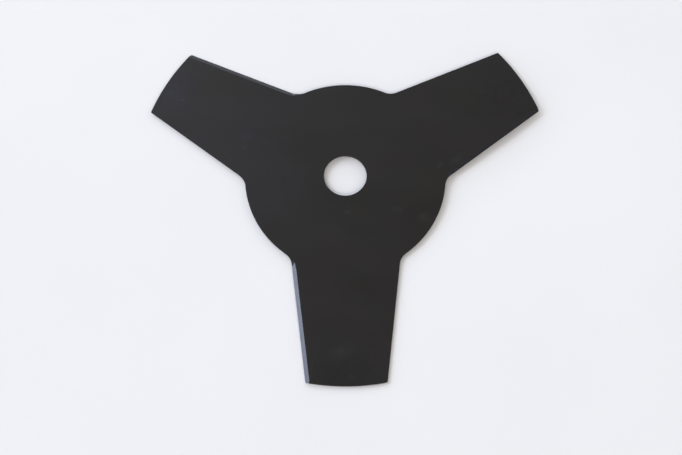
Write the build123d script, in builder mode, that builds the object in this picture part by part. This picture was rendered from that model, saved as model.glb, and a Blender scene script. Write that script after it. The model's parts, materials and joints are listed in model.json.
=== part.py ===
"""Three-arm brush cutter blade, blanked from one flat sheet and ground along both edges of every arm.

Millimetres. The blade lies flat on its lower face at z = 0, with the origin on the axis of its bore
and +Z up. The first arm points along -Y. Seen from above, the clockwise edge of each arm is ground
on the upper face and the other edge on the lower face, so the blade can be turned over.
"""
import math
import os

from build123d import *

# size of the blade: tip circle, bore and sheet
tip_diameter = 250.0
bore_diameter = 25.4
sheet_thickness = 1.4

# plan of the blank
arm_count = 3
first_arm_angle = -90.0
hub_diameter = 119.0
arm_tip_width = 45.6
arm_side_taper = 7.0
root_fillet_radius = 9.3
tip_corner_radius = 0.8
edge_round_radius = 0.2

# ground bevels: their width in plan, the thickness left at the cutting edge, and the rounded
# run-out beside the hub, which reaches the full width a little beyond the end of the root fillet
bevel_width = 2.3
cutting_edge_land = 0.3
runout_radius = 4.5
runout_setback = 1.6

# how far the grinding path runs past the sheet: above and below it, and beyond an arm's tip
grinding_overrun = 0.2
tip_overrun = 10.0

# the corner of an arm's tip, in the arm's own axes: along the arm and across it
tip_radius = tip_diameter / 2
hub_radius = hub_diameter / 2
taper_angle = math.radians(arm_side_taper)
tip_corner_across = arm_tip_width / 2
tip_corner_along = math.sqrt(tip_radius**2 - tip_corner_across**2)

# an arm's straight side as a line: its distance from the bore's axis, and the places along it of
# the root fillet's end and the tip corner, counted from its nearest point to that axis
side_distance = tip_corner_along * math.sin(taper_angle) + tip_corner_across * math.cos(taper_angle)
fillet_centre_reach = hub_radius + root_fillet_radius
fillet_end = math.sqrt(fillet_centre_reach**2 - (side_distance + root_fillet_radius) ** 2)
tip_corner_place = tip_corner_along * math.cos(taper_angle) - tip_corner_across * math.sin(taper_angle)

# half the width between an arm's side lines, beside the bore's axis and at the tip circle's radius
half_width_at_axis = side_distance / math.cos(taper_angle)
half_width_at_tip = half_width_at_axis - tip_radius * math.tan(taper_angle)

# the bevel's slope, and the round-ended path that the grinding wheel's edge follows beside an arm
bevel_slope = bevel_width / (sheet_thickness - cutting_edge_land)
path_start = fillet_end + runout_setback
path_length = tip_corner_place + tip_overrun - path_start
path_middle = path_start + path_length / 2
path_distance = side_distance + runout_radius - bevel_width
path_radius = runout_radius + grinding_overrun * bevel_slope
path_depth = sheet_thickness - cutting_edge_land + 2 * grinding_overrun

# the sheet's two faces, each with its normal outwards and its x axis along the first arm
first_arm = Vector(1, 0, 0).rotate(Axis.Z, first_arm_angle)
upper_face = Plane(origin=(0, 0, sheet_thickness), x_dir=first_arm, z_dir=(0, 0, 1))
lower_face = Plane(origin=(0, 0, 0), x_dir=first_arm, z_dir=(0, 0, -1))


def beside_arm(along, outward):
    """Gives the point at a place along an arm's clockwise side line and a distance from the bore's axis."""
    return (
        along * math.cos(taper_angle) + outward * math.sin(taper_angle),
        along * math.sin(taper_angle) - outward * math.cos(taper_angle),
    )


with BuildPart() as blade:
    # the blank: tapered arms cut to the tip circle and a round hub, with filleted roots and tips
    with BuildSketch(upper_face) as blank:
        with PolarLocations(0, arm_count):
            Polygon(
                (0, -half_width_at_axis),
                (tip_radius, -half_width_at_tip),
                (tip_radius, half_width_at_tip),
                (0, half_width_at_axis),
                align=None,
            )
        Circle(tip_radius, mode=Mode.INTERSECT)
        Circle(hub_radius)
        fillet(blank.vertices().group_by(SortBy.DISTANCE)[0], root_fillet_radius)
        fillet(blank.vertices().group_by(SortBy.DISTANCE)[-1], tip_corner_radius)
    extrude(amount=-sheet_thickness)

    # both edges of the outline are rounded all the way around
    flat_faces = blade.faces().filter_by(Axis.Z)
    fillet([edge for face in flat_faces for edge in face.outer_wire().edges()], edge_round_radius)

    # the bore, which centres the blade and keeps its square edges
    with BuildSketch(upper_face):
        Circle(bore_diameter / 2)
    extrude(amount=-sheet_thickness, mode=Mode.SUBTRACT)

    # one bevel along each arm on either face, ground on a straight path with a round start
    for ground_face in (upper_face, lower_face):
        with BuildSketch(ground_face.offset(grinding_overrun)):
            with PolarLocations(0, arm_count):
                with Locations(beside_arm(path_middle, path_distance)):
                    SlotCenterToCenter(path_length, 2 * path_radius, rotation=arm_side_taper)
        extrude(
            amount=-path_depth,
            taper=math.degrees(math.atan(bevel_slope)),
            mode=Mode.SUBTRACT,
        )

blade.part.label = "blade"
os.makedirs("parts", exist_ok=True)
export_step(blade.part, "parts/blade.step")
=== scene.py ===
"""Three-arm brush cutter blade in a dark satin coat, lying on pale paper in soft light from one side.

Lengths are in metres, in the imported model's frame: the origin is on the bore's axis at the lower
face, +Z is up and the first arm points along -Y. Arms are drawn along +X and then turned into place.
"""

import json
import logging
import math
from dataclasses import dataclass
from enum import Enum

import bmesh
import bpy
from mathutils import Euler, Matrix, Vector, noise


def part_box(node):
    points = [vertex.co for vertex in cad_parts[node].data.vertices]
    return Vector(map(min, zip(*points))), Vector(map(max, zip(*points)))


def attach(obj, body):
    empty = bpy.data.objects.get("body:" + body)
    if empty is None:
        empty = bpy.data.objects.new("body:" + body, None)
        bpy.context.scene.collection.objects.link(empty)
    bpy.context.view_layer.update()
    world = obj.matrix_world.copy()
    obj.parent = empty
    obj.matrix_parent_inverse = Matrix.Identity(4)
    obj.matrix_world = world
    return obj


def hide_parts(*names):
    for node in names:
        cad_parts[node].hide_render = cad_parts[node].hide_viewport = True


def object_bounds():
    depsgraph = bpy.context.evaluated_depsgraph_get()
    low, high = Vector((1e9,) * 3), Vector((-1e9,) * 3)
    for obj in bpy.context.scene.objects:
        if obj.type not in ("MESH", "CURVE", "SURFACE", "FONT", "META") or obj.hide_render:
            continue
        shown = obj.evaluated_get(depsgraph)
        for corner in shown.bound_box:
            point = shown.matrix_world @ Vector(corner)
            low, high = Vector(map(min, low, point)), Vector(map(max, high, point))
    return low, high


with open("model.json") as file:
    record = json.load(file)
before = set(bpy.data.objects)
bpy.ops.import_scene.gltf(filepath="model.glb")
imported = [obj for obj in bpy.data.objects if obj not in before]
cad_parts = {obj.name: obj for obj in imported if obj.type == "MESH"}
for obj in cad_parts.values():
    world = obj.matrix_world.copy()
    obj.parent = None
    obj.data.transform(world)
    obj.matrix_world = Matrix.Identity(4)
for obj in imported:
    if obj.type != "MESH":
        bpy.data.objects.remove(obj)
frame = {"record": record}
cad_low, cad_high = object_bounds()

MM = 0.001
CAD_NODE = "blade"
GROUND_MARK = "ground"
EDGE_MAP = "edge_run"
NOISE_LOW, NOISE_HIGH = 0.3, 0.7

log = logging.getLogger("brush_cutter_blade")


class Finish(Enum):
    """The finishes in the scene, by the names of their materials."""

    FACE_COAT = "face_coat"
    GROUND_COAT = "ground_coat"
    PALE_PAPER = "pale_paper"


class NodeBench:
    """Adds and links the nodes of one tree with short calls."""

    def __init__(self, tree: bpy.types.NodeTree) -> None:
        """Takes the tree that the nodes go into, and empties it."""
        self.tree = tree
        tree.nodes.clear()

    def add(self, kind: str, inputs: dict | None = None, **settings: object) -> bpy.types.Node:
        """Adds one node.

        Args:
            kind: The node's type name.
            inputs: Values, or sockets to link from, by the input's name or index.
            settings: Properties of the node by name.

        Returns:
            The new node.
        """
        node = self.tree.nodes.new(kind)
        for name, value in settings.items():
            setattr(node, name, value)
        for key, value in (inputs or {}).items():
            if isinstance(value, bpy.types.NodeSocket):
                self.tree.links.new(value, node.inputs[key])
            else:
                node.inputs[key].default_value = value
        return node

    def math(self, operation: str, *terms: object) -> bpy.types.NodeSocket:
        """Adds a math node, with numbers or sockets as its terms, and gives the result's socket."""
        return self.add("ShaderNodeMath", dict(enumerate(terms)), operation=operation).outputs[0]

    def noise(self, place: bpy.types.NodeSocket, grain: float, layers: float = 2.0) -> bpy.types.NodeSocket:
        """Adds a noise with grains of a size in the units of its coordinates, and gives its socket."""
        inputs = {"Vector": place, "Scale": 1 / grain, "Detail": layers}
        return self.add("ShaderNodeTexNoise", inputs).outputs["Fac"]

    def spread(self, value: bpy.types.NodeSocket, low: float, high: float) -> bpy.types.NodeSocket:
        """Spreads the middle of a noise over a range.

        Args:
            value: The noise's value.
            low: The result where the noise is low.
            high: The result where it is high.

        Returns:
            The result's socket.
        """
        limits = {
            "Value": value,
            "From Min": NOISE_LOW,
            "From Max": NOISE_HIGH,
            "To Min": low,
            "To Max": high,
        }
        return self.add("ShaderNodeMapRange", limits, interpolation_type="SMOOTHSTEP").outputs["Result"]

    def blend(self, value: bpy.types.NodeSocket, low: tuple, high: tuple) -> bpy.types.NodeSocket:
        """Blends two colours by a noise.

        Args:
            value: The noise's value.
            low: The colour where the noise is low.
            high: The colour where it is high.

        Returns:
            The colour's socket.
        """
        ramp = self.add("ShaderNodeValToRGB", {"Fac": value})
        stops = ramp.color_ramp.elements
        for stop, position, colour in zip(stops, (NOISE_LOW, NOISE_HIGH), (low, high)):
            stop.position = position
            stop.color = (*colour, 1.0)
        return ramp.outputs["Color"]


@dataclass(frozen=True)
class MarkOrPaintedLight:
    """A faint oval on the upper face that fades out and tints the coat: a real scuff or stain, a patch of
    painted reflection, or a patch of painted shade.
    """

    x: float
    y: float
    length: float
    width: float
    turn: float
    tint: tuple

    def on(
        self,
        bench: NodeBench,
        place: bpy.types.NodeSocket,
        grain: bpy.types.NodeSocket,
        under: bpy.types.NodeSocket,
    ) -> bpy.types.NodeSocket:
        """Lays the mark, or the painted light, over a colour.

        Args:
            bench: The bench of the coat's tree.
            place: The coordinates on the blade.
            grain: How strongly the mark or painted light shows from place to place, as a noise of up to 1.
            under: The colour's socket before the mark.

        Returns:
            The colour's socket with the mark or painted light on it.
        """
        local = bench.add(
            "ShaderNodeMapping",
            {
                "Vector": place,
                "Location": (self.x, self.y, cad_high.z),
                "Rotation": (0, 0, self.turn),
                "Scale": (self.length / 2, self.width / 2, cad_high.z / 2),
            },
            vector_type="TEXTURE",
        )
        reach = bench.add("ShaderNodeVectorMath", {0: local.outputs["Vector"]}, operation="LENGTH")
        limits = {"Value": reach.outputs["Value"], "To Min": 1.0, "To Max": 0.0}
        fade = bench.add("ShaderNodeMapRange", limits, interpolation_type="SMOOTHSTEP")
        shown = bench.math("MULTIPLY", fade.outputs["Result"], grain)
        terms = {0: self.tint, 1: shown, 2: under}
        return bench.add("ShaderNodeVectorMath", terms, operation="MULTIPLY_ADD").outputs["Vector"]


# What each tint adds to the coat's colour where it is strongest: scuffs and stains from handling;
# painted bluish reflection of the window light over the left arm, more of it at that arm's tip;
# and painted shade at the right and lower arms' tips.
SCUFF_TINT = (0.0100, 0.0100, 0.0116)
STAIN_TINT = (0.0030, 0.0026, 0.0120)
PAINTED_REFLECTION_TINT = (0.0016, 0.0028, 0.0064)
PAINTED_TIP_REFLECTION_TINT = (0.0050, 0.0038, 0.0152)
PAINTED_SHADE_TINT = (-0.0040, -0.0030, -0.0020)
MARKS_AND_PAINTED_LIGHT = (
    # Painted shade at the right and lower arms' tips, away from the windows.
    MarkOrPaintedLight(96 * MM, 54 * MM, 92 * MM, 64 * MM, math.radians(30), PAINTED_SHADE_TINT),
    MarkOrPaintedLight(0 * MM, -118 * MM, 60 * MM, 56 * MM, math.radians(0), PAINTED_SHADE_TINT),
    # Painted bluish reflection of the window light over the left arm, stronger at its tip.
    MarkOrPaintedLight(-68 * MM, 18 * MM, 150 * MM, 120 * MM, math.radians(150), PAINTED_REFLECTION_TINT),
    MarkOrPaintedLight(-105 * MM, 56 * MM, 48 * MM, 34 * MM, math.radians(60), PAINTED_TIP_REFLECTION_TINT),
    MarkOrPaintedLight(-59 * MM, 25 * MM, 14 * MM, 11 * MM, math.radians(20), STAIN_TINT),
    MarkOrPaintedLight(-60 * MM, 18.5 * MM, 9 * MM, 5 * MM, math.radians(10), SCUFF_TINT),
    MarkOrPaintedLight(-99 * MM, 50 * MM, 9 * MM, 4 * MM, math.radians(0), SCUFF_TINT),
    MarkOrPaintedLight(66 * MM, 9.5 * MM, 13 * MM, 6 * MM, math.radians(35), SCUFF_TINT),
    MarkOrPaintedLight(56 * MM, 6.5 * MM, 8 * MM, 5 * MM, math.radians(60), SCUFF_TINT),
    MarkOrPaintedLight(1 * MM, -23 * MM, 7 * MM, 4 * MM, math.radians(15), SCUFF_TINT),
    MarkOrPaintedLight(31 * MM, -21.5 * MM, 14 * MM, 6 * MM, math.radians(-12), SCUFF_TINT),
    MarkOrPaintedLight(46 * MM, -26 * MM, 10 * MM, 9 * MM, math.radians(0), SCUFF_TINT),
    MarkOrPaintedLight(-3 * MM, -106 * MM, 22 * MM, 13 * MM, math.radians(10), SCUFF_TINT),
    MarkOrPaintedLight(3 * MM, -120 * MM, 7 * MM, 4 * MM, math.radians(-20), SCUFF_TINT),
)


@dataclass(frozen=True)
class FaceCoat:
    """The satin black coat on the sheet's faces and blanked edges."""

    deep: tuple = (0.0082, 0.0056, 0.0062)
    faded: tuple = (0.0102, 0.0092, 0.0074)
    sheen: float = 0.43
    satin: float = 0.53
    rubbed: float = 0.47
    patch_size: float = 34 * MM
    smear_size: float = 52 * MM
    smear_turn: float = math.radians(35)
    smear_stretch: float = 2.6
    smear_polish: float = 0.05
    patch_layers: float = 4.0
    fine_layers: float = 3.0
    peel_size: float = 0.55 * MM
    peel_height: float = 0.0016 * MM
    tint_grain: float = 2.2 * MM
    faintest_tint: float = 0.2

    def material(self) -> bpy.types.Material:
        """Makes the coat: blotched colour, faint scuffs and stains, patches of painted reflection and
        painted shade, smears of a higher sheen and a fine peel.

        Returns:
            The material.
        """
        coat = bpy.data.materials.new(Finish.FACE_COAT.value)
        coat.use_nodes = True
        bench = NodeBench(coat.node_tree)
        place = bench.add("ShaderNodeTexCoord").outputs["Object"]
        patches = bench.noise(place, self.patch_size, self.patch_layers)
        turned = bench.add(
            "ShaderNodeMapping",
            {"Vector": place, "Rotation": (0, 0, self.smear_turn), "Scale": (1, self.smear_stretch, 1)},
        )
        smears = bench.noise(turned.outputs["Vector"], self.smear_size, self.fine_layers)
        rubbed = bench.spread(patches, self.satin, self.rubbed)
        roughness = bench.math("SUBTRACT", rubbed, bench.spread(smears, 0.0, self.smear_polish))
        peel = bench.add(
            "ShaderNodeBump",
            {"Height": bench.noise(place, self.peel_size), "Distance": self.peel_height, "Strength": 1.0},
        )
        colour = bench.blend(patches, self.deep, self.faded)
        speckle = bench.noise(place, self.tint_grain, self.fine_layers)
        grain = bench.spread(speckle, self.faintest_tint, 1.0)
        # The scuffs and stains, and the painted reflection and painted shade, go over the colour.
        for mark in MARKS_AND_PAINTED_LIGHT:
            colour = mark.on(bench, place, grain, colour)
        shader = bench.add(
            "ShaderNodeBsdfPrincipled",
            {
                "Base Color": colour,
                "Roughness": roughness,
                "Specular IOR Level": self.sheen,
                "Normal": peel.outputs["Normal"],
            },
        )
        bench.add("ShaderNodeOutputMaterial", {"Surface": shader.outputs["BSDF"]})
        return coat


@dataclass(frozen=True)
class GroundCoat:
    """The thinner, smoother coat on the bevels, over the marks of the grinding wheel."""

    deep: tuple = (0.0150, 0.0145, 0.0155)
    faded: tuple = (0.0220, 0.0210, 0.0225)
    sheen_tint: tuple = (0.84, 0.885, 1.0)
    sheen: float = 0.5
    smooth: float = 0.20
    scored: float = 0.28
    mark_pitch: float = 0.35 * MM
    mark_length: float = 6 * MM
    mark_height: float = 0.0009 * MM
    mark_layers: float = 3.0

    def material(self) -> bpy.types.Material:
        """Makes the coat, with marks that cross the bevel and vary along the cutting edge.

        Returns:
            The material.
        """
        coat = bpy.data.materials.new(Finish.GROUND_COAT.value)
        coat.use_nodes = True
        bench = NodeBench(coat.node_tree)
        run = bench.add("ShaderNodeUVMap", uv_map=EDGE_MAP).outputs["UV"]
        stretched = bench.add(
            "ShaderNodeMapping",
            {"Vector": run, "Scale": (1.0, self.mark_pitch / self.mark_length, 1.0)},
        )
        marks = bench.noise(stretched.outputs["Vector"], self.mark_pitch, self.mark_layers)
        relief = bench.add(
            "ShaderNodeBump",
            {"Height": marks, "Distance": self.mark_height, "Strength": 1.0},
        )
        shader = bench.add(
            "ShaderNodeBsdfPrincipled",
            {
                "Base Color": bench.blend(marks, self.deep, self.faded),
                "Roughness": bench.spread(marks, self.smooth, self.scored),
                "Specular IOR Level": self.sheen,
                "Specular Tint": (*self.sheen_tint, 1.0),
                "Normal": relief.outputs["Normal"],
            },
        )
        bench.add("ShaderNodeOutputMaterial", {"Surface": shader.outputs["BSDF"]})
        return coat


@dataclass(frozen=True)
class PalePaper:
    """The matt pale paper that the blade lies on."""

    shade: tuple = (0.825, 0.827, 0.843)
    light: tuple = (0.843, 0.845, 0.861)
    roughness: float = 0.9
    cloud_size: float = 120 * MM

    def material(self) -> bpy.types.Material:
        """Makes the paper, with a faint clouding.

        Returns:
            The material.
        """
        paper = bpy.data.materials.new(Finish.PALE_PAPER.value)
        paper.use_nodes = True
        bench = NodeBench(paper.node_tree)
        place = bench.add("ShaderNodeTexCoord").outputs["Object"]
        clouds = bench.noise(place, self.cloud_size)
        shader = bench.add(
            "ShaderNodeBsdfPrincipled",
            {
                "Base Color": bench.blend(clouds, self.shade, self.light),
                "Roughness": self.roughness,
                "Specular IOR Level": 0.0,
            },
        )
        bench.add("ShaderNodeOutputMaterial", {"Surface": shader.outputs["BSDF"]})
        return paper


@dataclass(frozen=True)
class EdgePoint:
    """A point of the blank's outline in plan, with its outward direction."""

    place: Vector
    outward: Vector

    def mirrored(self) -> "EdgePoint":
        """Gives the same point on the arm's other side."""
        return EdgePoint(Vector((self.place.x, -self.place.y)), Vector((self.outward.x, -self.outward.y)))


@dataclass(frozen=True)
class BladePlan:
    """The blade's sizes, and one arm's outline and bevel in plan, with the arm along +X.

    The last fields say how finely half an arm's outline is divided, from the hub to the tip. The
    tip's arc has closer steps over the share of it that a bevel can cross.
    """

    tip_radius: float
    bore_radius: float
    thickness: float
    arm_count: int = 3
    first_arm: float = math.radians(-90)
    hub_radius: float = 59.5 * MM
    arm_tip_width: float = 45.6 * MM
    side_taper: float = math.radians(7)
    root_fillet: float = 9.3 * MM
    tip_corner: float = 0.8 * MM
    edge_round: float = 0.2 * MM
    bore_round: float = 0.08 * MM
    bevel_width: float = 2.3 * MM
    edge_land: float = 0.3 * MM
    runout_radius: float = 4.5 * MM
    runout_setback: float = 1.6 * MM
    hub_steps: int = 16
    fillet_steps: int = 22
    runout_steps: int = 14
    runout_margin: float = 0.5 * MM
    side_steps: int = 12
    corner_steps: int = 8
    tip_steps: int = 9
    bevelled_tip_share: float = 0.12

    @property
    def half_sector(self) -> float:
        """Half the angle that one arm and its share of the hub take up."""
        return math.pi / self.arm_count

    @property
    def side_distance(self) -> float:
        """Works out the line of an arm's side from the arm's width at its tip.

        Returns:
            The line's distance from the bore's axis.
        """
        across = self.arm_tip_width / 2
        along = math.sqrt(self.tip_radius**2 - across**2)
        return along * math.sin(self.side_taper) + across * math.cos(self.side_taper)

    @property
    def fillet_end(self) -> float:
        """Where the root fillet meets the side, counted along the side's line."""
        reach = self.hub_radius + self.root_fillet
        return math.sqrt(reach**2 - (self.side_distance + self.root_fillet) ** 2)

    @property
    def corner_start(self) -> float:
        """Where the rounding of the tip corner meets the side, counted along the side's line."""
        reach = self.tip_radius - self.tip_corner
        return math.sqrt(reach**2 - (self.side_distance - self.tip_corner) ** 2)

    @property
    def bevel_slope(self) -> float:
        """The bevel's width for each unit of its depth."""
        return self.bevel_width / (self.thickness - self.edge_land)

    @property
    def path_start(self) -> float:
        """Where the bevel reaches its full width, counted along the side's line."""
        return self.fillet_end + self.runout_setback

    @property
    def path_distance(self) -> float:
        """Distance from the bore's axis to the line that the middle of the grinding path follows."""
        return self.side_distance + self.runout_radius - self.bevel_width

    def beside(self, along: float, outward: float) -> Vector:
        """Gives a point in plan by its distances along and across the line of the arm's +Y side."""
        cos, sin = math.cos(self.side_taper), math.sin(self.side_taper)
        return Vector((along * cos + outward * sin, outward * cos - along * sin))

    def ground_height(self, point: Vector) -> float:
        """Gives the height of the upper bevel's surface over a point in plan.

        Args:
            point: The point in plan.

        Returns:
            The height of the cone or plane that the wheel leaves there. It is above the sheet
            where the wheel doesn't reach.
        """
        cos, sin = math.cos(self.side_taper), math.sin(self.side_taper)
        along = point.x * cos + point.y * sin
        outward = point.x * sin - point.y * cos
        behind = max(0.0, self.path_start - along)
        reach = math.hypot(behind, self.path_distance - outward)
        return self.thickness + (reach - self.runout_radius) / self.bevel_slope

    def bevel_border(self, heading: Vector) -> float | None:
        """Gives where a ray from the bore's axis meets the inner line of the upper bevel.

        Args:
            heading: The ray's direction in plan, of unit length.

        Returns:
            The distance along the ray, or None where it misses the bevel.
        """
        cos, sin = math.cos(self.side_taper), math.sin(self.side_taper)
        along = heading.x * cos + heading.y * sin
        outward = heading.x * sin - heading.y * cos
        if outward <= 0.0:
            return None
        straight = (self.side_distance - self.bevel_width) / outward
        if straight * along >= self.path_start:
            return straight
        toward = along * self.path_start + outward * self.path_distance
        clear = self.path_start**2 + self.path_distance**2 - self.runout_radius**2
        inside = toward**2 - clear
        return toward - math.sqrt(inside) if inside > 0.0 else None

    def half_outline(self) -> list[EdgePoint]:
        """Draws half an arm's share of the outline, on the +Y side.

        Returns:
            Points from the middle of the hub's arc, round the root fillet and out along the
            side to the middle of the tip.
        """
        line = self.side_distance
        fillet_centre = self.beside(self.fillet_end, line + self.root_fillet)
        corner_centre = self.beside(self.corner_start, line - self.tip_corner)
        sideways = self.beside(0.0, 1.0)
        hub_end, corner_end = heading_of(fillet_centre), heading_of(corner_centre)
        points = [
            EdgePoint(self.hub_radius * ray(angle), ray(angle))
            for angle in steps(self.half_sector, hub_end, self.hub_steps)
        ]
        fillet_last = heading_of(-sideways) + 2 * math.pi
        for angle in steps(hub_end + math.pi, fillet_last, self.fillet_steps)[1:]:
            points.append(EdgePoint(fillet_centre + self.root_fillet * ray(angle), -ray(angle)))
        for station in self.side_stations():
            points.append(EdgePoint(self.beside(station, line), sideways))
        for angle in steps(heading_of(sideways), corner_end, self.corner_steps)[1:]:
            points.append(EdgePoint(corner_centre + self.tip_corner * ray(angle), ray(angle)))
        bevel_end = corner_end * (1 - self.bevelled_tip_share)
        bevelled = steps(corner_end, bevel_end, self.tip_steps)[1:]
        for angle in bevelled + steps(bevel_end, 0.0, self.tip_steps)[1:]:
            points.append(EdgePoint(self.tip_radius * ray(angle), ray(angle)))
        return points

    def side_stations(self) -> list[float]:
        """Divides a side's straight stretch, closely where the bevel runs out.

        Returns:
            Places along the side's line, from the root fillet's end to the tip corner.
        """
        dense_end = self.path_start + self.runout_margin
        dense = steps(self.fillet_end, dense_end, self.runout_steps)[1:]
        return dense + steps(dense_end, self.corner_start, self.side_steps)[1:]


def ray(angle: float) -> Vector:
    """Gives the unit vector in plan at an angle from +X."""
    return Vector((math.cos(angle), math.sin(angle)))


def heading_of(vector: Vector) -> float:
    """Gives the angle of a vector in plan from +X."""
    return math.atan2(vector.y, vector.x)


def steps(first: float, last: float, count: int) -> list[float]:
    """Gives count + 1 evenly spaced values from first to last."""
    return [first + (last - first) * step / count for step in range(count + 1)]


@dataclass
class ArmSector:
    """The mesh of one arm with its share of the hub: closed section loops, side by side.

    A loop goes round one section of the sheet, from the outer wall along the upper face to the
    bore's wall, and back along the lower face.
    """

    plan: BladePlan
    round_steps: int = 5
    bore_steps: int = 3
    support_inset: float = 0.1 * MM
    border_gap: float = 1.0 * MM
    inner_rings: int = 6
    tolerance: float = 0.001 * MM

    def upper_loop(self, edge: EdgePoint) -> list[Vector]:
        """Draws the upper half of one section, from the outer wall in to the bore's wall.

        Args:
            edge: The outline's point that the section starts from.

        Returns:
            The section's points, in three dimensions.
        """
        plan = self.plan
        loop = []
        for angle in steps(0.0, math.pi / 2, self.round_steps):
            inset = plan.edge_round * (1 - math.cos(angle))
            drop = plan.edge_round * (1 - math.sin(angle))
            loop.append(self.on_top(edge.place - inset * edge.outward, drop))
        support = edge.place - (plan.edge_round + self.support_inset) * edge.outward
        loop.append(self.on_top(support, 0.0))
        heading, reach = support.normalized(), support.length
        border = plan.bevel_border(heading)
        if border is None or border > reach - self.support_inset:
            border = reach - self.border_gap
        bore_edge = plan.bore_radius + plan.bore_round
        for distance in steps(border, bore_edge + self.support_inset, self.inner_rings) + [bore_edge]:
            loop.append(self.on_top(distance * heading, 0.0))
        for angle in steps(0.0, math.pi / 2, self.bore_steps)[1:]:
            inset = plan.bore_round * (1 - math.sin(angle))
            drop = plan.bore_round * (1 - math.cos(angle))
            loop.append(self.on_top((plan.bore_radius + inset) * heading, drop))
        return loop

    def on_top(self, point: Vector, drop: float) -> Vector:
        """Lifts a point in plan to a drop below the upper face, or to the bevel where that is lower."""
        height = min(self.plan.thickness - drop, self.plan.ground_height(point))
        return Vector((point.x, point.y, height))

    def turned_over(self, loop: list[Vector]) -> list[Vector]:
        """Turns an upper half section over about the arm, which gives the lower half opposite."""
        return [Vector((point.x, -point.y, self.plan.thickness - point.z)) for point in loop]

    def is_ground(self, corners: list[Vector]) -> bool:
        """Tells whether a face lies on a bevel, on either side of the sheet.

        Args:
            corners: The face's corners.

        Returns:
            True where all of them lie on the surface that the wheel leaves.
        """
        over = self.turned_over(corners)
        return any(
            all(abs(point.z - self.plan.ground_height(point.xy)) < self.tolerance for point in side)
            for side in (corners, over)
        )

    def mesh(self) -> bpy.types.Mesh:
        """Builds the sector as a mesh, with its ground faces marked and its edge map.

        Returns:
            The mesh, open only where the next sectors join it.
        """
        half = self.plan.half_outline()
        edges = half + [point.mirrored() for point in reversed(half[:-1])]
        uppers = [self.upper_loop(edge) for edge in edges]
        loops = [
            upper + self.turned_over(opposite)[::-1]
            for upper, opposite in zip(uppers, reversed(uppers))
        ]
        runs = [0.0]
        for here, there in zip(edges, edges[1:]):
            runs.append(runs[-1] + (there.place - here.place).length)
        shape = bmesh.new()
        ground = shape.faces.layers.float.new(GROUND_MARK)
        edge_map = shape.loops.layers.uv.new(EDGE_MAP)
        rows = [[shape.verts.new(point) for point in loop] for loop in loops]
        run_of = {vert: run for row, run in zip(rows, runs) for vert in row}
        edge_of = {vert: edge.place for row, edge in zip(rows, edges) for vert in row}
        for row, following in zip(rows, rows[1:]):
            count = len(row)
            for index in range(count):
                after = (index + 1) % count
                face = shape.faces.new((row[index], row[after], following[after], following[index]))
                face.smooth = True
                face[ground] = float(self.is_ground([vert.co for vert in face.verts]))
                for corner in face.loops:
                    inset = (edge_of[corner.vert] - corner.vert.co.xy).length
                    corner[edge_map].uv = (run_of[corner.vert], inset)
        mesh = bpy.data.meshes.new("arm_sector")
        shape.to_mesh(mesh)
        shape.free()
        return mesh


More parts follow.
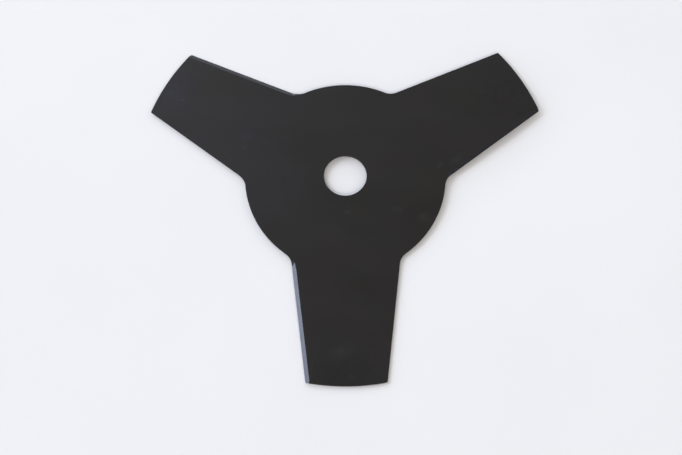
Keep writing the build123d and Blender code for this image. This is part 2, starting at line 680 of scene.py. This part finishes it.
@dataclass
class ArmPattern:
    """Geometry nodes that set one sector at every arm's angle, weld them and coat them."""

    arm_count: int
    first_arm: float
    weld_distance: float = 0.002 * MM
    ground_threshold: float = 0.5

    def tree(self) -> bpy.types.NodeTree:
        """Builds the node tree.

        Returns:
            The tree, with named inputs for its sizes and its two coats.
        """
        tree = bpy.data.node_groups.new("arm_pattern", "GeometryNodeTree")
        tree.is_modifier = True
        sockets = (
            ("Sector", "NodeSocketGeometry"),
            ("Arms", "NodeSocketInt"),
            ("First arm angle", "NodeSocketFloat"),
            ("Weld distance", "NodeSocketFloat"),
            ("Face coat", "NodeSocketMaterial"),
            ("Ground coat", "NodeSocketMaterial"),
        )
        for name, kind in sockets:
            tree.interface.new_socket(name=name, in_out="INPUT", socket_type=kind)
        tree.interface.new_socket(name="Blade", in_out="OUTPUT", socket_type="NodeSocketGeometry")
        bench = NodeBench(tree)
        given = bench.add("NodeGroupInput").outputs
        pitch = bench.math("DIVIDE", 2 * math.pi, given["Arms"])
        index = bench.add("GeometryNodeInputIndex").outputs["Index"]
        angle = bench.math("MULTIPLY_ADD", index, pitch, given["First arm angle"])
        turn = bench.add("FunctionNodeAxisAngleToRotation", {"Axis": (0, 0, 1), "Angle": angle})
        places = bench.add("GeometryNodePoints", {"Count": given["Arms"]})
        arms = bench.add(
            "GeometryNodeInstanceOnPoints",
            {
                "Points": places.outputs["Points"],
                "Instance": given["Sector"],
                "Rotation": turn.outputs["Rotation"],
            },
        )
        solid = bench.add("GeometryNodeRealizeInstances", {"Geometry": arms.outputs["Instances"]})
        welded = bench.add(
            "GeometryNodeMergeByDistance",
            {"Geometry": solid.outputs["Geometry"], "Distance": given["Weld distance"]},
        )
        coated = bench.add(
            "GeometryNodeSetMaterial",
            {"Geometry": welded.outputs["Geometry"], "Material": given["Face coat"]},
        )
        mark = bench.add("GeometryNodeInputNamedAttribute", {"Name": GROUND_MARK}, data_type="FLOAT")
        is_ground = bench.math("GREATER_THAN", mark.outputs["Attribute"], self.ground_threshold)
        finished = bench.add(
            "GeometryNodeSetMaterial",
            {
                "Geometry": coated.outputs["Geometry"],
                "Selection": is_ground,
                "Material": given["Ground coat"],
            },
        )
        bench.add("NodeGroupOutput", {"Blade": finished.outputs["Geometry"]})
        return tree

    def run(self, sector: bpy.types.Mesh, coats: dict[Finish, bpy.types.Material]) -> bpy.types.Mesh:
        """Runs the tree on a sector.

        Args:
            sector: The mesh of one arm and its share of the hub.
            coats: The materials of the face coat and the ground coat.

        Returns:
            The whole blade as a plain mesh.
        """
        sector.materials.append(coats[Finish.FACE_COAT])
        carrier = bpy.data.objects.new("arm_sector", sector)
        bpy.context.scene.collection.objects.link(carrier)
        modifier = carrier.modifiers.new("arm_pattern", "NODES")
        modifier.node_group = self.tree()
        values = {
            "Arms": self.arm_count,
            "First arm angle": self.first_arm,
            "Weld distance": self.weld_distance,
            "Face coat": coats[Finish.FACE_COAT],
            "Ground coat": coats[Finish.GROUND_COAT],
        }
        for socket in modifier.node_group.interface.items_tree:
            if socket.in_out == "INPUT" and socket.name in values:
                modifier[socket.identifier] = values[socket.name]
        graph = bpy.context.evaluated_depsgraph_get()
        whole = bpy.data.meshes.new_from_object(carrier.evaluated_get(graph))
        carrier.modifiers.clear()
        bpy.data.objects.remove(carrier)
        return whole


@dataclass
class Blade:
    """The whole blade, one piece of sheet steel."""

    plan: BladePlan
    crease: float = math.radians(23)

    def build(self, coats: dict[Finish, bpy.types.Material]) -> bpy.types.Object:
        """Builds the blade in place of its solid.

        Args:
            coats: The materials of the face coat and the ground coat.

        Returns:
            The blade's object.
        """
        pattern = ArmPattern(self.plan.arm_count, self.plan.first_arm)
        mesh = pattern.run(ArmSector(self.plan).mesh(), coats)
        self.point_outwards(mesh)
        mesh.set_sharp_from_angle(angle=self.crease)
        mesh.name = "blade_plate"
        plate = bpy.data.objects.new("blade_plate", mesh)
        bpy.context.scene.collection.objects.link(plate)
        return plate

    def point_outwards(self, mesh: bpy.types.Mesh) -> None:
        """Points the faces of the welded mesh outwards.

        Args:
            mesh: The whole blade's mesh.
        """
        shape = bmesh.new()
        shape.from_mesh(mesh)
        bmesh.ops.recalc_face_normals(shape, faces=shape.faces)
        shape.to_mesh(mesh)
        shape.free()

    def dress(self, plate: bpy.types.Object) -> None:
        """Puts the plate on the root body and hides the CAD part that it stands for.

        Args:
            plate: The blade's object.
        """
        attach(plate, "root")
        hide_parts(CAD_NODE)


@dataclass(frozen=True)
class Sag:
    """A place where the paper sags away from the blade."""

    x: float
    y: float
    depth: float
    length: float
    width: float
    heading: float = 0.0

    def at(self, x: float, y: float) -> float:
        """Gives how far the paper sags at a place.

        Args:
            x: The place's distance to the right of the bore's axis.
            y: The place's distance behind it.

        Returns:
            The drop, which falls off smoothly from the sag's deepest point.
        """
        heading = ray(self.heading)
        offset = Vector((x - self.x, y - self.y))
        along = offset.dot(heading) / self.length
        across = offset.cross(heading) / self.width
        return self.depth * math.exp(-(along**2) - across**2)


HUB_SAG = Sag(10 * MM, 0.0, 1.5 * MM, 55 * MM, 55 * MM)
ARM_SAG = Sag(108 * MM, 22 * MM, 3.0 * MM, 55 * MM, 41 * MM, math.radians(37))


@dataclass
class PaperSheet:
    """The pale paper under the blade, wide enough to fill every view.

    It sags a little under the hub and the right arm and ripples faintly all over, always below the
    height that the blade rests on.
    """

    half_width: float = 12.0
    fine_half_width: float = 0.42
    fine_step: float = 0.012
    sags: tuple = (HUB_SAG, ARM_SAG)
    ripple_depth: float = 0.12 * MM
    ripple_size: float = 0.11

    def drop(self, x: float, y: float) -> float:
        """Gives how far the paper lies below the blade's lower face at x and y."""
        wave = (1 + noise.noise(Vector((x, y, 0.0)) / self.ripple_size)) / 2
        return sum(sag.at(x, y) for sag in self.sags) + self.ripple_depth * max(0.0, wave)

    def build(self, paper: bpy.types.Material) -> bpy.types.Object:
        """Lays the paper.

        Args:
            paper: The paper's material.

        Returns:
            The paper's object.
        """
        count = round(2 * self.fine_half_width / self.fine_step)
        fine = steps(-self.fine_half_width, self.fine_half_width, count)
        lines = [-self.half_width, *fine, self.half_width]
        places = [(x, y, cad_low.z - self.drop(x, y)) for y in lines for x in lines]
        across = len(lines)
        cells = [
            (cell, cell + 1, cell + across + 1, cell + across)
            for row in range(across - 1)
            for cell in range(row * across, (row + 1) * across - 1)
        ]
        mesh = bpy.data.meshes.new("paper")
        mesh.from_pydata(places, [], cells)
        mesh.shade_smooth()
        mesh.materials.append(paper)
        sheet = bpy.data.objects.new("paper", mesh)
        bpy.context.scene.collection.objects.link(sheet)
        return sheet


@dataclass(frozen=True)
class SoftLamp:
    """A broad lamp, such as a window, aimed at the blade from far off."""

    name: str
    azimuth: float
    elevation: float
    breadth: float
    rise: float
    radiance: float
    colour: tuple
    distance: float

    def build(self) -> bpy.types.Object:
        """Hangs the lamp, unseen by the camera.

        Returns:
            The lamp's object.
        """
        lamp = bpy.data.lights.new(self.name, "AREA")
        lamp.shape = "RECTANGLE"
        lamp.size = 2 * self.distance * math.tan(self.breadth / 2)
        lamp.size_y = 2 * self.distance * math.tan(self.rise / 2)
        lamp.color = self.colour
        lamp.energy = self.radiance * math.pi * lamp.size * lamp.size_y
        hung = bpy.data.objects.new(self.name, lamp)
        level = math.cos(self.elevation)
        toward = Vector((
            level * math.cos(self.azimuth),
            level * math.sin(self.azimuth),
            math.sin(self.elevation),
        ))
        hung.location = self.distance * toward
        hung.rotation_euler = toward.to_track_quat("Z", "Y").to_euler()
        hung.visible_camera = False
        bpy.context.scene.collection.objects.link(hung)
        return hung


@dataclass(frozen=True)
class Room:
    """The light of the room: pale walls, and a dim ceiling that leans to the right."""

    tint: tuple = (1.0, 0.984, 0.989)
    darkest: tuple = (0.315, 0.135, 0.939)
    brightness: tuple = ((0.0, 0.735), (0.70, 0.70), (0.86, 0.325), (0.94, 0.14), (1.0, 0.08))

    def build(self) -> None:
        """Sets the world's light by how far a direction turns towards the darkest one."""
        world = bpy.data.worlds.new("room")
        world.use_nodes = True
        bench = NodeBench(world.node_tree)
        toward = bench.add("ShaderNodeTexCoord").outputs["Generated"]
        turn = bench.add("ShaderNodeVectorMath", {0: toward, 1: self.darkest}, operation="DOT_PRODUCT")
        ramp = bench.add("ShaderNodeValToRGB", {"Fac": turn.outputs["Value"]})
        stops = ramp.color_ramp.elements
        while len(stops) < len(self.brightness):
            stops.new(1.0)
        for stop, (position, level) in zip(stops, self.brightness):
            stop.position = position
            stop.color = (*(level * part for part in self.tint), 1.0)
        light = bench.add("ShaderNodeBackground", {"Color": ramp.outputs["Color"], "Strength": 1.0})
        bench.add("ShaderNodeOutputWorld", {"Surface": light.outputs["Background"]})
        bpy.context.scene.world = world


@dataclass(frozen=True)
class Viewpoint:
    """The camera, looking down at the blade from the side of its first arm."""

    place: tuple = (-1.80 * MM, -210.90 * MM, 536.57 * MM)
    turn: tuple = (math.radians(18.431), math.radians(0.167), math.radians(-0.224))
    lens: float = 51.11
    sensor_width: float = 36.0

    def build(self) -> bpy.types.Object:
        """Sets up the camera.

        Returns:
            The camera's object.
        """
        data = bpy.data.cameras.new("viewpoint")
        data.lens = self.lens
        data.sensor_width = self.sensor_width
        data.sensor_fit = "HORIZONTAL"
        camera = bpy.data.objects.new("viewpoint", data)
        camera.location = self.place
        camera.rotation_euler = Euler(self.turn, "XYZ")
        bpy.context.scene.collection.objects.link(camera)
        bpy.context.scene.camera = camera
        return camera


NEAR_WINDOW = SoftLamp(
    name="near_window",
    azimuth=math.radians(170),
    elevation=math.radians(36.5),
    breadth=math.radians(16),
    rise=math.radians(16),
    radiance=9.2,
    colour=(0.796, 0.859, 1.0),
    distance=8.0,
)
LOW_WINDOW = SoftLamp(
    name="low_window",
    azimuth=math.radians(180),
    elevation=math.radians(18),
    breadth=math.radians(34),
    rise=math.radians(20),
    radiance=2.8,
    colour=(0.684, 0.777, 1.0),
    distance=8.0,
)
FAR_WINDOW = SoftLamp(
    name="far_window",
    azimuth=math.radians(121),
    elevation=math.radians(23),
    breadth=math.radians(46),
    rise=math.radians(36),
    radiance=2.6,
    colour=(0.786, 0.88, 1.0),
    distance=4.0,
)
HIGH_WINDOW = SoftLamp(
    name="high_window",
    azimuth=math.radians(135),
    elevation=math.radians(42),
    breadth=math.radians(34),
    rise=math.radians(20),
    radiance=1.1,
    colour=(0.77, 0.82, 1.0),
    distance=8.0,
)
BACK_WINDOW = SoftLamp(
    name="back_window",
    azimuth=math.radians(66),
    elevation=math.radians(14),
    breadth=math.radians(44),
    rise=math.radians(18),
    radiance=0.56,
    colour=(0.617, 0.787, 1.0),
    distance=8.0,
)
BACK_WALL = SoftLamp(
    name="back_wall",
    azimuth=math.radians(45),
    elevation=math.radians(18),
    breadth=math.radians(34),
    rise=math.radians(20),
    radiance=2.62,
    colour=(1.0, 0.928, 0.652),
    distance=8.0,
)
FRONT_WALL = SoftLamp(
    name="front_wall",
    azimuth=math.radians(-96),
    elevation=math.radians(42),
    breadth=math.radians(36),
    rise=math.radians(22),
    radiance=3.16,
    colour=(1.0, 0.928, 0.828),
    distance=8.0,
)
LAMPS = (NEAR_WINDOW, LOW_WINDOW, FAR_WINDOW, HIGH_WINDOW, BACK_WINDOW, BACK_WALL, FRONT_WALL)


def bore_radius() -> float:
    """Reads the bore's radius from the record's mount."""
    bore = next(mount for mount in frame["record"]["mounts"] if mount["kind"] == "bore")
    return bore["dims"]["r_mm"] * MM


def main() -> None:
    """Builds the blade, its stage, its light and the camera, in that order."""
    logging.basicConfig(level=logging.INFO, format="%(name)s: %(message)s")
    bpy.context.scene.view_settings.view_transform = "Standard"
    coats = {Finish.FACE_COAT: FaceCoat().material(), Finish.GROUND_COAT: GroundCoat().material()}
    node_low, node_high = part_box(CAD_NODE)
    plan = BladePlan(
        tip_radius=-node_low.y,
        bore_radius=bore_radius(),
        thickness=node_high.z - node_low.z,
    )
    blade = Blade(plan)
    plate = blade.build(coats)
    blade.dress(plate)
    log.info("%s: %d faces", plate.name, len(plate.data.polygons))
    sheet = PaperSheet().build(PalePaper().material())
    log.info("%s laid at z = %.4f", sheet.name, cad_low.z)
    for lamp in LAMPS:
        log.info("%s hung", lamp.build().name)
    Room().build()
    log.info("%s set", Viewpoint().build().name)


if __name__ == "__main__":
    main()
